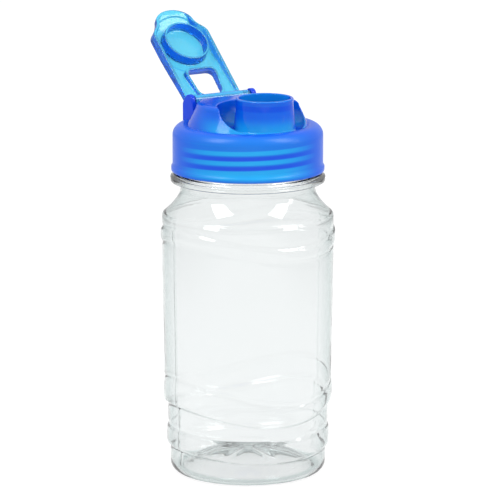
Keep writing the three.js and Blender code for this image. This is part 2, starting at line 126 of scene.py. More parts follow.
# ---- Screw cap -------------------------------------------------------------------------------------
CAP_STEPS = 256
SKIRT_RADIUS = CAP_RADIUS - 0.6
CAP_INNER = SKIRT_RADIUS - 1.4
CEILING_Z = SEAL_HIGH + 0.3
RECESS_Z = CEILING_Z + 2.2
DECK_Z = RECESS_Z + 0.6
RECESS_RADIUS = SKIRT_RADIUS - 6.4
SKIRT_SHOULDER = (4.6, 4.7)
LIP_HEIGHT = 2.2
DOME_TOP = RECESS_Z + 10.4
DOME_LEAN = 4.6
DOME_WALL = 1.6
SPOUT_RADIUS = 12.5
SPOUT_Y = -13.5
SPOUT_FLARE = 1.9
SPOUT_DRAFT = 0.85
SCOOP_REACH = 8.1
BORE_RADIUS = 11.2
RIM_BAND_LOW = CAP_TOP - 5.2
EAR_INNER = 14.6
EAR_WIDTH = 2.2
EAR_OUTER = EAR_INNER + EAR_WIDTH
EAR_ROUND = 2.9
BAY_FRONT = HINGE.y - 5.6
PIN_RADIUS = 1.4
PIN_HOLE_RADIUS = 1.7
BARREL_RADIUS = 2.4

# ---- Lid, as it lies when closed: hinge axis along X at the origin, tip towards -Y ------------------
# U runs from the hinge towards the tip
LIP_H = 3.7
LID_HALF = 14.2
LID_WALL = 1.5
LID_SKIN = 1.6
NOSE_HALF = LID_HALF - 4.8
CROWN_REAR = 2.8
CROWN_RISE = 2.1
CROWN_FALL = 3.7
PLUG_U = 35.5
PLUG_RADIUS = 10.7
PLUG_WALL = 1.2
PLUG_TOP = LIP_H + 3.6
HEAD_U = 41.1
HEAD_ZONE_RADIUS = 15.3
HEAD_ZONE_WALL = 1.57
HEAD_ZONE_SKIN = 1.2
TIP_U = 54.3
# Half width at the rear, half width at the front, rear U, front U, corner
FINGER_HOLE = (5.8, 7.1, 5.8, 19.8, 2.8)
FINGER_COLLAR = (7.0, 8.3, 4.6, 21.0, 3.8)

# ---- Making --------------------------------------------------------------------------------------
VOXEL = 0.31
LID_VOXEL = VOXEL * 0.85
# Attribute that carries the lid's painted shade on its upright walls
WALL_SHADE = "painted_wall_shade"
UPRIGHT = Matrix.Identity(4)
SIDEWAYS = Matrix(((0, 0, 1, 0), (1, 0, 0, 0), (0, 1, 0, 0), (0, 0, 0, 1)))
LID_PLACE = Matrix.Translation(HINGE) @ Matrix.Rotation(math.radians(-LID_SWING), 4, "X")


# ==== Tools =========================================================================================
def smooth(t):
    """0 below 0, 1 above 1, and an even slope between."""
    t = min(1.0, max(0.0, t))
    return t * t * (3 - 2 * t)


def step(z, middle, width):
    """Rises from 0 to 1 across width, with its middle at middle."""
    return smooth((z - middle) / width + 0.5)


def arc(centre, radius, start, end, count):
    """Points on an arc, angles in degrees; radius is one number or one each way."""
    rx, rz = radius if isinstance(radius, tuple) else (radius, radius)
    points = []
    for i in range(count + 1):
        a = math.radians(start + (end - start) * i / count)
        points.append((centre[0] + rx * math.cos(a), centre[1] + rz * math.sin(a)))
    return points


def rows(start, end, spacing):
    """Heights from start towards end, no further apart than spacing, with end left out."""
    count = max(1, math.ceil(abs(end - start) / spacing))
    return [start + (end - start) * i / count for i in range(count)]


def turned(profile, steps, closed=False, middle=(0, 0)):
    """A profile of (radius, height) points spun about a vertical line."""
    bm = bmesh.new()
    ring = [bm.verts.new((middle[0] + r, middle[1], z)) for r, z in profile]
    for a, b in zip(ring, ring[1:]):
        bm.edges.new((a, b))
    if closed:
        bm.edges.new((ring[-1], ring[0]))
    centre = Vector((middle[0], middle[1], 0))
    bmesh.ops.spin(
        bm, geom=bm.verts[:] + bm.edges[:], cent=centre, axis=(0, 0, 1),
        angle=2 * math.pi, steps=steps, use_merge=True,
    )
    bmesh.ops.remove_doubles(bm, verts=bm.verts[:], dist=1e-4)
    bmesh.ops.recalc_face_normals(bm, faces=bm.faces[:])
    return bm


def prism(outline, low, high, to_world):
    """A flat outline raised from low to high along its own third axis, then placed by to_world."""
    bm = bmesh.new()
    verts = [bm.verts.new((x, y, low)) for x, y in outline]
    face = bm.faces.new(verts)
    raised = bmesh.ops.extrude_face_region(bm, geom=[face])
    top = [g for g in raised["geom"] if isinstance(g, bmesh.types.BMVert)]
    bmesh.ops.translate(bm, verts=top, vec=(0, 0, high - low))
    bmesh.ops.transform(bm, matrix=to_world, verts=bm.verts[:])
    bmesh.ops.recalc_face_normals(bm, faces=bm.faces[:])
    return bm


def cylinder(radius, low, high, steps, middle=(0, 0)):
    """An upright drum."""
    return turned([(0, low), (radius, low), (radius, high), (0, high)], steps, middle=middle)


def rod(radius, half_length, steps, place):
    """A round bar along X."""
    bm = bmesh.new()
    bmesh.ops.create_cone(
        bm, cap_ends=True, segments=steps, radius1=radius, radius2=radius, depth=2 * half_length,
    )
    quarter = Matrix.Rotation(math.pi / 2, 3, "Y")
    bmesh.ops.rotate(bm, verts=bm.verts[:], cent=(0, 0, 0), matrix=quarter)
    bmesh.ops.translate(bm, verts=bm.verts[:], vec=place)
    return bm


def scratch_object(bm):
    """An object that holds the shape while it is worked on."""
    mesh = bpy.data.meshes.new("scratch")
    bm.to_mesh(mesh)
    bm.free()
    obj = bpy.data.objects.new("scratch", mesh)
    bpy.context.scene.collection.objects.link(obj)
    return obj


def taken_mesh(obj):
    """The object's mesh as loose geometry; the object itself is removed."""
    bm = bmesh.new()
    bm.from_mesh(obj.data)
    bpy.data.objects.remove(obj)
    return bm


def apply_modifiers(obj):
    """Turns the modifiers' result into the object's own mesh."""
    bpy.context.view_layer.update()
    evaluated = obj.evaluated_get(bpy.context.evaluated_depsgraph_get())
    mesh = bpy.data.meshes.new_from_object(evaluated)
    obj.modifiers.clear()
    obj.data = mesh


def combine(first, others, operation):
    """Joins the other shapes to the first one, or cuts them from it, or keeps what they share."""
    for bm in others:
        tool = scratch_object(bm)
        modifier = first.modifiers.new("combine", "BOOLEAN")
        modifier.operation = operation
        modifier.solver = "EXACT"
        modifier.object = tool
        apply_modifiers(first)
        bpy.data.objects.remove(tool)
    return first


def moulded(obj, voxel, passes):
    """Turns a sharp assembly of solids into one moulding with softly filleted corners."""
    remesh = obj.modifiers.new("skin", "REMESH")
    remesh.mode = "VOXEL"
    remesh.voxel_size = voxel
    soften = obj.modifiers.new("soften", "SMOOTH")
    soften.factor = 0.5
    soften.iterations = passes
    apply_modifiers(obj)
    return obj


def store_wall_shade(obj):
    """Stores how upright each point's surface is, so that walls can carry painted shade, deeper than
    floors.
    """
    share = obj.data.attributes.new(WALL_SHADE, "FLOAT", "POINT")
    for vertex, value in zip(obj.data.vertices, share.data):
        inner_side = LID_HALF - 4.0 < abs(vertex.co.x) < LID_HALF - 0.8
        clear_of_plug = math.hypot(vertex.co.x, vertex.co.y + PLUG_U) > PLUG_RADIUS + 0.6
        value.value = (1 - abs(vertex.normal.z)) * (0.5 if inner_side and clear_of_plug else 1.0)
    return obj


def finish(obj, name, body, materials, node=None, place=UPRIGHT):
    """Places a piece, scales it to metres, and hangs it on its body."""
    obj.name = name
    obj.data.name = name
    obj.data.transform(Matrix.Scale(MM, 4) @ place)
    for polygon in obj.data.polygons:
        polygon.use_smooth = True
    obj.data.materials.clear()
    for material in materials:
        obj.data.materials.append(material)
    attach(obj, body)
    if node:
        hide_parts(node)
    return obj


# ==== Materials =====================================================================================
def new_material(name, **values):
    """A material whose shader takes the given constants; underscores stand for spaces."""
    material = bpy.data.materials.new(name)
    material.use_nodes = True
    shader = material.node_tree.nodes["Principled BSDF"]
    for socket, value in values.items():
        shader.inputs[socket.replace("_", " ")].default_value = value
    return material, material.node_tree, shader


def node(tree, kind, **values):
    made = tree.nodes.new(kind)
    for key, value in values.items():
        setattr(made, key, value)
    return made


def maths(tree, operation, *values):
    """One step of arithmetic on numbers or sockets."""
    made = node(tree, "ShaderNodeMath", operation=operation)
    for index, value in enumerate(values):
        if isinstance(value, (int, float)):
            made.inputs[index].default_value = value
        else:
            tree.links.new(value, made.inputs[index])
    return made.outputs[0]


def object_xyz(tree):
    """The object coordinates in millimetres, one socket each."""
    place = node(tree, "ShaderNodeTexCoord")
    scaled = node(tree, "ShaderNodeVectorMath", operation="SCALE")
    scaled.inputs["Scale"].default_value = 1 / MM
    tree.links.new(place.outputs["Object"], scaled.inputs[0])
    split = node(tree, "ShaderNodeSeparateXYZ")
    tree.links.new(scaled.outputs[0], split.inputs[0])
    return scaled.outputs[0], split.outputs[0], split.outputs[1], split.outputs[2]


def ramp(tree, value, low, high):
    """0 where the value is below low, 1 above high, and a smooth slope between."""
    made = node(tree, "ShaderNodeMapRange")
    made.interpolation_type = "SMOOTHSTEP"
    made.inputs["From Min"].default_value = low
    made.inputs["From Max"].default_value = high
    tree.links.new(value, made.inputs["Value"])
    return made.outputs[0]


def falling(tree, value, low, high):
    """1 where the value is below low, 0 above high, and a smooth slope between."""
    return maths(tree, "SUBTRACT", 1.0, ramp(tree, value, low, high))


def both(tree, first, second):
    """The product of two shares."""
    return maths(tree, "MULTIPLY", first, second)


def between_values(tree, value, low, high):
    """Spreads a share from 0 to 1 over low to high."""
    made = node(tree, "ShaderNodeMapRange")
    made.inputs["To Min"].default_value = low
    made.inputs["To Max"].default_value = high
    tree.links.new(value, made.inputs["Value"])
    return made.outputs[0]


def facing_share(tree, blend):
    """0 where the surface faces the viewer, 1 where it is seen edge-on."""
    facing = node(tree, "ShaderNodeLayerWeight")
    facing.inputs["Blend"].default_value = blend
    return facing.outputs["Facing"]


def absorbed(tree, colour, density):
    """Tints the light in step with the thickness of plastic that it crosses."""
    absorb = node(tree, "ShaderNodeVolumeAbsorption")
    absorb.inputs["Color"].default_value = colour
    absorb.inputs["Density"].default_value = density
    tree.links.new(absorb.outputs[0], tree.nodes["Material Output"].inputs["Volume"])


def mixed(tree, factor, first, second):
    """A colour between two others, each a plain colour or a socket."""
    made = node(tree, "ShaderNodeMix", data_type="RGBA")
    tree.links.new(factor, made.inputs["Factor"])
    for socket, value in ((made.inputs[6], first), (made.inputs[7], second)):
        if isinstance(value, tuple):
            socket.default_value = value
        else:
            tree.links.new(value, socket)
    return made.outputs[2]


def noise(tree, coordinates, scale, detail=2.0):
    made = node(tree, "ShaderNodeTexNoise")
    made.inputs["Scale"].default_value = scale
    made.inputs["Detail"].default_value = detail
    tree.links.new(coordinates, made.inputs["Vector"])
    return made.outputs["Fac"]


def bump(tree, shader, height, strength, distance):
    """Fine relief in the surface; distance is in metres."""
    made = node(tree, "ShaderNodeBump")
    made.inputs["Strength"].default_value = strength
    made.inputs["Distance"].default_value = distance
    tree.links.new(height, made.inputs["Height"])
    tree.links.new(made.outputs[0], shader.inputs["Normal"])


def clear_plastic():
    """Blow-moulded clear polyester: glossy, with a slow ripple in the wall and a faint grey-green cast;
    painted shade darkens its edges below the bead and its heel.
    """
    material, tree, shader = new_material(
        "clear_blown_plastic", Roughness=0.02, IOR=1.5, Transmission_Weight=1.0,
    )
    place, _, _, z = object_xyz(tree)
    cast_low = (0.900, 0.916, 0.918, 1)
    cast_high = (0.912, 0.926, 0.926, 1)
    # This grey-green is painted shade, laid on the body's edges and on its heel
    shade_grey = (0.50, 0.60, 0.59, 1)
    clear = mixed(tree, noise(tree, place, 0.03), cast_low, cast_high)
    # Painted shade: the body turns grey-green towards its edges, where it is seen edge-on, up to the bead
    edge_shade_share = ramp(tree, facing_share(tree, 0.5), 0.38, 0.98)
    below_bead = falling(tree, z, COLLAR_Z + 1, BEAD_Z)
    rounded = mixed(tree, both(tree, edge_shade_share, below_bead), clear, shade_grey)
    # Painted shade where the heel stands on the floor, partly the thicker plastic of the heel
    heel = falling(tree, z, 0.4, 2.4)
    tint = mixed(tree, both(tree, heel, 0.7), rounded, shade_grey)
    tree.links.new(tint, shader.inputs["Base Color"])
    bump(tree, shader, noise(tree, place, 0.09, 1.0), 0.10, 0.0006)
    absorbed(tree, (0.30, 0.46, 0.44, 1), 12.0)
    return material


def seal_rubber():
    """Soft milky rubber with a fine matt grain."""
    material, tree, shader = new_material("milky_rubber", Roughness=0.55, IOR=1.45)
    place = object_xyz(tree)[0]
    tint = mixed(tree, noise(tree, place, 0.4), (0.80, 0.84, 0.87, 1), (0.88, 0.91, 0.93, 1))
    tree.links.new(tint, shader.inputs["Base Color"])
    bump(tree, shader, noise(tree, place, 6.0), 0.2, 0.00005)
    return material


def helix_bands(tree, x, y, z, top, highest, lowest, softness):
    """1 along the turns of a helix with the thread's pitch, 0 between them and past its two ends."""
    angle = maths(tree, "ARCTAN2", y, x)
    turn = maths(tree, "MULTIPLY", angle, 1 / (2 * math.pi))
    rise = maths(tree, "DIVIDE", maths(tree, "SUBTRACT", z, top), PITCH)
    phase = maths(tree, "SUBTRACT", rise, turn)
    crests = maths(tree, "COSINE", maths(tree, "MULTIPLY", phase, 2 * math.pi))
    crest = ramp(tree, crests, softness, softness + 1.0)
    low = ramp(tree, z, lowest - 0.5, lowest + 1.0)
    high = falling(tree, z, highest - 1.0, highest + 1.0)
    return both(tree, crest, both(tree, low, high))


def skirt_plastic():
    """Frosted blue polypropylene; the thread inside shows through as painted dark turns, with painted
    light glowing through the thin wall between them and above the lip; painted shade deepens it where it
    turns away.
    """
    material, tree, shader = new_material(
        "frosted_blue_plastic", IOR=1.49, Transmission_Weight=0.08, Specular_IOR_Level=0.32,
    )
    place, x, y, z = object_xyz(tree)
    deep = (0.002, 0.070, 0.67, 1)
    # This deeper blue is painted shade where the skirt turns away from view
    edge = (0.003, 0.105, 0.68, 1)
    front = (0.003, 0.170, 0.69, 1)
    # This cyan is painted light, shining through the thin wall between the thread's turns and above the
    # lip
    glow = (0.008, 0.38, 0.78, 1)
    # Seen through the wall, the turns stand a little above where they are
    seen_top = CAP_THREAD_TOP + 0.8
    lowest = CAP_THREAD_TOP - CAP_THREAD_TURNS * PITCH
    # Painted shade of the thread's turns seen through the wall, and painted light in the gaps between them
    thread = helix_bands(tree, x, y, z, seen_top, seen_top + 0.5, lowest, -0.2)
    gap_top = seen_top - 0.45 * PITCH
    gaps = helix_bands(tree, x, y, z, gap_top, seen_top + 3.4, CAP_LOW + 1.0, -0.3)
    above_lip = ramp(tree, z, CAP_LOW + 0.6, CAP_LOW + 2.0)
    below_thread = falling(tree, z, lowest - 0.2, lowest + 1.2)
    light = maths(tree, "MAXIMUM", gaps, both(tree, above_lip, below_thread))
    shade = between_values(tree, noise(tree, place, 0.12), 0.72, 1.0)
    lit = mixed(tree, both(tree, light, shade), front, glow)
    banded = mixed(tree, thread, lit, deep)
    # Painted shade: the skirt turns deeper blue where it is seen edge-on
    painted_edge_shade = ramp(tree, facing_share(tree, 0.4), 0.0, 0.54)
    tree.links.new(mixed(tree, painted_edge_shade, banded, edge), shader.inputs["Base Color"])
    frosting = between_values(tree, noise(tree, place, 0.6), 0.28, 0.38)
    tree.links.new(frosting, shader.inputs["Roughness"])
    bump(tree, shader, noise(tree, place, 2.2), 0.08, 0.0001)
    return material


def crown_plastic():
    """The same blue plastic left glossy, with a painted glow at its foot and in the bore, a painted
    highlight along the spout's lip, darker round the spout's top, and painted shade at its edges.
    """
    material, tree, shader = new_material(
        "glossy_blue_plastic", IOR=1.46, Transmission_Weight=0.22, Specular_IOR_Level=0.26,
    )
    place, x, y, z = object_xyz(tree)
    deep = (0.002, 0.070, 0.72, 1)
    front = (0.002, 0.125, 0.75, 1)
    # This cyan is painted light: a glow at the dome's foot and inside the bore, and a painted highlight on
    # the lip
    glow = (0.012, 0.380, 0.84, 1)
    ear_blue = (0.004, 0.062, 0.75, 1)
    from_spout = maths(tree, "POWER", maths(tree, "SUBTRACT", y, SPOUT_Y), 2.0)
    from_spout = maths(tree, "ADD", from_spout, maths(tree, "POWER", x, 2.0))
    from_spout = maths(tree, "SQRT", from_spout)
    # Painted glow at the foot, painted light in the bore, painted highlight along the spout's lip
    foot = falling(tree, z, RECESS_Z + 0.5, RECESS_Z + 7.5)
    foot = both(tree, foot, falling(tree, from_spout, 22.0, 30.0))
    bore = falling(tree, from_spout, BORE_RADIUS - 0.1, BORE_RADIUS + 0.3)
    lip = ramp(tree, z, CAP_TOP - 0.5, CAP_TOP - 0.2)
    light = maths(tree, "MAXIMUM", foot, both(tree, bore, 0.5))
    light = maths(tree, "MAXIMUM", light, both(tree, lip, 0.45))
    lit = mixed(tree, light, front, glow)
    band = ramp(tree, z, RIM_BAND_LOW, RIM_BAND_LOW + 1.2)
    band = both(tree, band, falling(tree, z, RIM_BAND_LOW + 2.6, RIM_BAND_LOW + 3.5))
    on_spout = ramp(tree, from_spout, SPOUT_RADIUS - 0.7, SPOUT_RADIUS - 0.3)
    on_spout = both(tree, on_spout, falling(tree, from_spout, SPOUT_RADIUS + 1.5, SPOUT_RADIUS + 2.1))
    banded = mixed(tree, both(tree, both(tree, band, on_spout), 0.7), lit, deep)
    ears = ramp(tree, maths(tree, "ABSOLUTE", x), EAR_INNER - 0.4, EAR_INNER)
    ears = both(tree, ears, ramp(tree, y, 14.0, 16.0))
    ears = both(tree, ears, ramp(tree, z, DECK_Z - 0.8, DECK_Z - 0.4))
    eared = mixed(tree, ears, banded, ear_blue)
    # Painted shade: the crown turns deeper blue where it is seen edge-on
    painted_edge_shade = ramp(tree, facing_share(tree, 0.45), 0.35, 0.9)
    tree.links.new(mixed(tree, painted_edge_shade, eared, deep), shader.inputs["Base Color"])
    duller = ramp(tree, from_spout, 15.0, 21.0)
    tree.links.new(between_values(tree, duller, 0.07, 0.13), shader.inputs["Roughness"])
    bump(tree, shader, noise(tree, place, 1.6), 0.07, 0.0001)
    return material


def lid_plastic():
    """Light blue plastic, slightly milky; its colour deepens with the thickness that light crosses, and
    painted shade deepens it further at its edges and upright walls.
    """
    material, tree, shader = new_material(
        "light_blue_clear_plastic", IOR=1.45, Transmission_Weight=0.80,
    )
    place = object_xyz(tree)[0]
    pale = mixed(tree, noise(tree, place, 0.08), (0.12, 0.67, 0.90, 1), (0.17, 0.72, 0.90, 1))
    # Painted shade: the lid turns deeper blue at its edges and on its upright walls
    painted_edge_shade = ramp(tree, facing_share(tree, 0.45), 0.35, 0.85)
    wall = node(tree, "ShaderNodeAttribute", attribute_name=WALL_SHADE)
    deep = maths(tree, "MAXIMUM", painted_edge_shade, ramp(tree, wall.outputs["Fac"], 0.25, 0.8))
    tint = mixed(tree, deep, pale, (0.015, 0.20, 0.86, 1))
    tree.links.new(tint, shader.inputs["Base Color"])
    milkiness = between_values(tree, noise(tree, place, 0.5), 0.10, 0.20)
    tree.links.new(milkiness, shader.inputs["Roughness"])
    bump(tree, shader, noise(tree, place, 1.2), 0.06, 0.0001)
    absorbed(tree, (0.30, 0.80, 0.995, 1), 230.0)
    return material


# ==== Bottle ========================================================================================
def wave(angle, line):
    """Height of a line that goes up and down twice round the bottle, lowest near the spout's side."""
    middle, swing, turned_by = line
    return middle - swing * math.cos(2 * (angle - math.radians(turned_by)))


def body_radius(z, angle, crisp=1.0):
    """Radius of the blown body; angle runs from -Y towards +X, and crisp is lower inside the wall."""
    label_swell = smooth((z - LABEL_SWELL_FROM) / LABEL_SWELL_OVER)
    label = LABEL_FOOT_RADIUS + (LABEL_TOP_RADIUS - LABEL_FOOT_RADIUS) * label_swell
    base_line = wave(angle, BASE_LINE)
    low_line = wave(angle, LOW_LINE)
    waist_line = wave(angle, WAIST_LINE) + WAIST_LEAN * math.sin(angle)
    ribbon_top = wave(angle, RIBBON_TOP_LINE)
    upper_foot = wave(angle, UPPER_FOOT_LINE)
    upper_top = wave(angle, UPPER_TOP_LINE)
    radius = BASE_RADIUS
    radius += (LOW_RIBBON_RADIUS - BASE_RADIUS) * step(z, base_line, 2.6)
    radius += (WAIST_RADIUS - LOW_RIBBON_RADIUS) * step(z, low_line, 2.4)
    radius += (WAVE_RIBBON_RADIUS - WAIST_RADIUS) * step(z, waist_line, 2.8)
    radius += (label - WAVE_RIBBON_RADIUS) * step(z, ribbon_top, 3.0)
    radius += UPPER_RIBBON_RISE * (step(z, upper_foot, 2.0) - step(z, upper_top, 2.0))
    # A groove runs beside each line: its height, depth and width
    for line, depth, width in (
        (base_line - 0.9, 0.30, 0.9),
        (low_line + 0.9, 0.35, 0.9),
        (waist_line - 0.9, 0.30, 0.75),
        (ribbon_top + 1.2, 0.46, 0.75),
        (upper_foot - 0.9, 0.25, 0.9),
        (upper_top + 1.1, 0.25, 0.9),
    ):
        radius -= crisp * depth * math.exp(-((crisp * (z - line) / width) ** 2))
    up_ribbon = min(1, max(0, (z - waist_line) / (ribbon_top - waist_line)))
    radius += RIBBON_SWELL * math.sin(math.pi * up_ribbon)
    from_seam = min(abs(math.sin(angle) - 1), abs(math.sin(angle) + 1))
    return radius + SEAM_HEIGHT * math.exp(-from_seam / SEAM_SPREAD)


def thread_ridge(z, angle, top, turns):
    """Share of the thread's full height at this place on the wall; angle as in body_radius."""
    about_x = angle - math.pi / 2
    down = (-about_x / (2 * math.pi)) % 1.0
    best = 0.0
    for lap in range(math.ceil(turns) + 1):
        turn = down + lap
        if turn > turns:
            continue
        along = turn / turns
        fade = smooth(min(along, 1 - along) / THREAD_RUN_OUT)
        off = abs(z - (top - PITCH * turn))
        best = max(best, fade * smooth((THREAD_HALF_WIDTH - off) / THREAD_FLANK))
    return best


def angle_of(vertex):
    """Angle round the bottle from -Y towards +X."""
    return math.atan2(vertex.co.x, -vertex.co.y)


def move_out(vertex, distance):
    """Moves a point away from the bottle's axis."""
    length = math.hypot(vertex.co.x, vertex.co.y)
    vertex.co.x *= 1 + distance / length
    vertex.co.y *= 1 + distance / length


def shoulder_radius(z):
    """A tight knee at the foot, then a slope that eases into the collar."""
    climb = min(1.0, max(0.0, (z - SHOULDER_FOOT_Z) / (COLLAR_Z - SHOULDER_FOOT_Z)))
    if climb < SHOULDER_KNEE:
        share = 1 - SHOULDER_KNEE_DROP * (climb / SHOULDER_KNEE) ** 2
    else:
        share = SHOULDER_START * (1 - climb) ** SHOULDER_EASE
    return COLLAR_RADIUS + (LABEL_TOP_RADIUS - COLLAR_RADIUS) * share


def bottle_outside():
    """From the standing ring up to the mouth's rim."""
    profile = arc((RING_OUTER, HEEL_RADIUS), (BASE_RADIUS - RING_OUTER, HEEL_RADIUS), -90, 0, 8)
    body = rows(HEEL_RADIUS + 0.7, LABEL_LOW, FINE_ROW)
    body += rows(LABEL_LOW, LABEL_HIGH, COARSE_ROW)
    body += rows(LABEL_HIGH, SHOULDER_FOOT_Z - 1.2, FINE_ROW)
    profile += [(body_radius(z, 0), z) for z in body]
    shoulder = rows(SHOULDER_FOOT_Z - 0.6, SHOULDER_FOOT_Z + 2.2, 0.35)
    shoulder += rows(SHOULDER_FOOT_Z + 2.2, COLLAR_Z, 0.8)
    profile += [(shoulder_radius(z), z) for z in shoulder]
    profile += [(COLLAR_RADIUS, z) for z in rows(COLLAR_Z, BEAD_Z - 0.9, 1.2)]
    profile += arc((COLLAR_RADIUS + 0.6, BEAD_Z - 0.6), 0.6, 180, 90, 4)
    profile += arc((BEAD_RADIUS - 0.5, BEAD_Z + 0.5), 0.5, -90, 0, 4)
    profile += arc((BEAD_RADIUS - 0.5, BEAD_STEP_Z - 0.5), 0.5, 0, 90, 4)
    profile += arc((BEAD_STEP_RADIUS - 0.3, FINISH_Z - 0.3), 0.3, 0, 90, 3)
    profile += arc((NECK_RADIUS + 0.4, FINISH_Z + 0.4), 0.4, -90, -180, 3)
    profile += [(NECK_RADIUS, z) for z in rows(FINISH_Z + 0.7, BOTTLE_TOP - 0.7, 0.42)]
    profile += arc((NECK_RADIUS - 0.5, BOTTLE_TOP - 0.5), 0.5, 0, 90, 3)
    return profile


def bottle_inside():
    """From the mouth's rim down to the floor."""
    profile = arc((MOUTH_RADIUS + 0.5, BOTTLE_TOP - 0.5), 0.5, 90, 180, 3)
    profile += [(MOUTH_RADIUS, z) for z in rows(BOTTLE_TOP - 1.5, COLLAR_Z + 1, 2.4)]
    # The shoulder leans in, so its wall is measured slantwise
    for z in rows(COLLAR_Z, SHOULDER_FOOT_Z + 0.4, 0.9):
        profile.append((shoulder_radius(z) - WALL * 1.25, z - 0.2))
    body = rows(SHOULDER_FOOT_Z - 1.2, LABEL_HIGH, FINE_ROW)
    body += rows(LABEL_HIGH, LABEL_LOW, COARSE_ROW)
    body += rows(LABEL_LOW, HEEL_RADIUS + 0.9, FINE_ROW)
    profile += [(body_radius(z, 0) - WALL, z) for z in body]
    heel = (BASE_RADIUS - RING_OUTER - WALL, HEEL_RADIUS - 0.6)
    profile += arc((RING_OUTER, HEEL_RADIUS + 0.4), heel, 0, -90, 6)
    return profile


def push_up(lift):
    """The pushed-up middle of the base, from the standing ring to the axis."""
    points = []
    for i in range(PUSH_UP_ROWS + 1):
        share = 1 - i / PUSH_UP_ROWS
        height = PUSH_UP * (1 - share ** 2.4) ** 0.8
        points.append((RING_INNER * share, height + lift))
    return points


def make_bottle():
    """The whole bottle as one shell with an outside and an inside."""
    profile = push_up(0)[::-1] + bottle_outside() + bottle_inside() + push_up(FLOOR_THICKNESS)
    bm = turned(profile, BOTTLE_STEPS)
    mould_bottle(bm)
    return scratch_object(bm)


def mould_bottle(bm):
    """Presses the sweeping ribbons, the base's ribs and the neck's thread into the plain turned shell."""
    for vertex in bm.verts:
        z = vertex.co.z
        radius = math.hypot(vertex.co.x, vertex.co.y)
        if radius < 1e-3:
            continue
        angle = angle_of(vertex)
        if z < PUSH_UP + 2 and radius < RING_INNER - 1:
            vertex.co.z -= base_rib(radius, angle)
        elif HEEL_RADIUS < z < SHOULDER_FOOT_Z:
            fade = smooth((z - HEEL_RADIUS) / 3) * smooth((SHOULDER_FOOT_Z - z) / 3)
            crisp = 1.0 if radius > body_radius(z, 0) - WALL / 2 else INNER_CRISP
            plain = body_radius(z, 0) if crisp == 1.0 else radius + WALL
            move_out(vertex, fade * (body_radius(z, angle, crisp) - plain))
        elif z > FINISH_Z and abs(radius - NECK_RADIUS) < 0.05:
            ridge = thread_ridge(z, angle, NECK_THREAD_TOP, NECK_THREAD_TURNS)
            move_out(vertex, THREAD_HEIGHT * ridge)


def base_rib(radius, angle):
    """Six shallow ribs that run from the middle of the base towards its standing ring."""
    spoke = math.exp(-((math.sin(3 * angle) / 0.42) ** 2))
    reach = smooth((radius - 3) / 5) * smooth((RING_INNER - 2 - radius) / 6)
    return BASE_RIB_HEIGHT * spoke * reach


# ==== Seal ==========================================================================================
def make_seal():
    """A flat ring with softened edges, between the mouth's rim and the cap's ceiling."""
    low, high = SEAL_LOW, SEAL_HIGH
    inner = MOUTH_RADIUS - 0.3
    soft = 0.3
    profile = arc((inner + soft, low + soft), soft, 180, 270, 4)
    profile += arc((SEAL_RADIUS - soft, low + soft), soft, 270, 360, 4)
    profile += arc((SEAL_RADIUS - soft, high - soft), soft, 0, 90, 4)
    profile += arc((inner + soft, high - soft), soft, 90, 180, 4)
    return scratch_object(turned(profile, 160, closed=True))


# ==== Screw cap =====================================================================================
def make_skirt():
    """The frosted skirt with its rounded shoulder, bottom lip and inner thread."""
    edge = RECESS_RADIUS - 0.4
    profile = [(edge, CEILING_Z), (edge, RECESS_Z + 0.1)]
    profile += arc((RECESS_RADIUS + 0.6, DECK_Z - 0.75), (1.0, 0.75), 180, 90, 5)
    profile += [(RECESS_RADIUS + 1.4, DECK_Z + 0.02)]
    across, down = SKIRT_SHOULDER
    profile += arc((SKIRT_RADIUS - across, DECK_Z - down), SKIRT_SHOULDER, 90, 0, 16)
    lip_top = CAP_LOW + LIP_HEIGHT
    profile += [(SKIRT_RADIUS, z) for z in rows(DECK_Z - 5.6, lip_top + 0.9, 0.9)]
    profile += [(SKIRT_RADIUS + 0.02, lip_top + 0.75)]
    profile += [(SKIRT_RADIUS + 0.25, lip_top + 0.35)]
    profile += arc((CAP_RADIUS - 0.35, lip_top - 0.35), 0.35, 80, 0, 3)
    profile += arc((CAP_RADIUS - 0.5, CAP_LOW + 0.5), 0.5, 0, -90, 4)
    profile += arc((CAP_INNER + 0.4, CAP_LOW + 0.4), 0.4, 270, 180, 3)
    profile += [(CAP_INNER, z) for z in rows(CAP_LOW + 0.9, CEILING_Z - 1.0, 0.34)]
    profile += arc((CAP_INNER - 0.6, CEILING_Z - 0.6), 0.6, 0, 90, 4)
    bm = turned(profile, CAP_STEPS, closed=True)
    for vertex in bm.verts:
        radius = math.hypot(vertex.co.x, vertex.co.y)
        if abs(radius - CAP_INNER) < 0.05:
            ridge = thread_ridge(vertex.co.z, angle_of(vertex), CAP_THREAD_TOP, CAP_THREAD_TURNS)
            move_out(vertex, -THREAD_HEIGHT * ridge)
    return scratch_object(bm)


def dome_cone(shrink):
    """The dome before anything is cut from it; shrink gives its hollow inside."""
    foot = RECESS_RADIUS - shrink
    top = DOME_TOP - shrink
    low = CEILING_Z - 1 if shrink else CEILING_Z + 0.4
    head = foot - DOME_LEAN
    profile = [(0, low), (foot, low), (foot, RECESS_Z)]
    profile += arc((head - 2.0, top - 2.4), (2.8, 2.4), 0, 90, 10)
    profile += [(0, top)]
    return turned(profile, 128)


def dome_scoop(shrink):
    """The round hollow between the dome and the spout, with a wide fillet at its foot."""
    floor = RECESS_Z - shrink
    inner = SPOUT_RADIUS + SPOUT_FLARE + shrink
    outer = SPOUT_RADIUS + SCOOP_REACH + shrink
    profile = [(0, floor)]
    profile += arc((inner, DOME_TOP - 2), (outer - inner, DOME_TOP - 2 - floor), -90, 0, 14)
    profile += [(outer, DOME_TOP + 3), (0, DOME_TOP + 3)]
    return turned(profile, 128, middle=(0, SPOUT_Y))


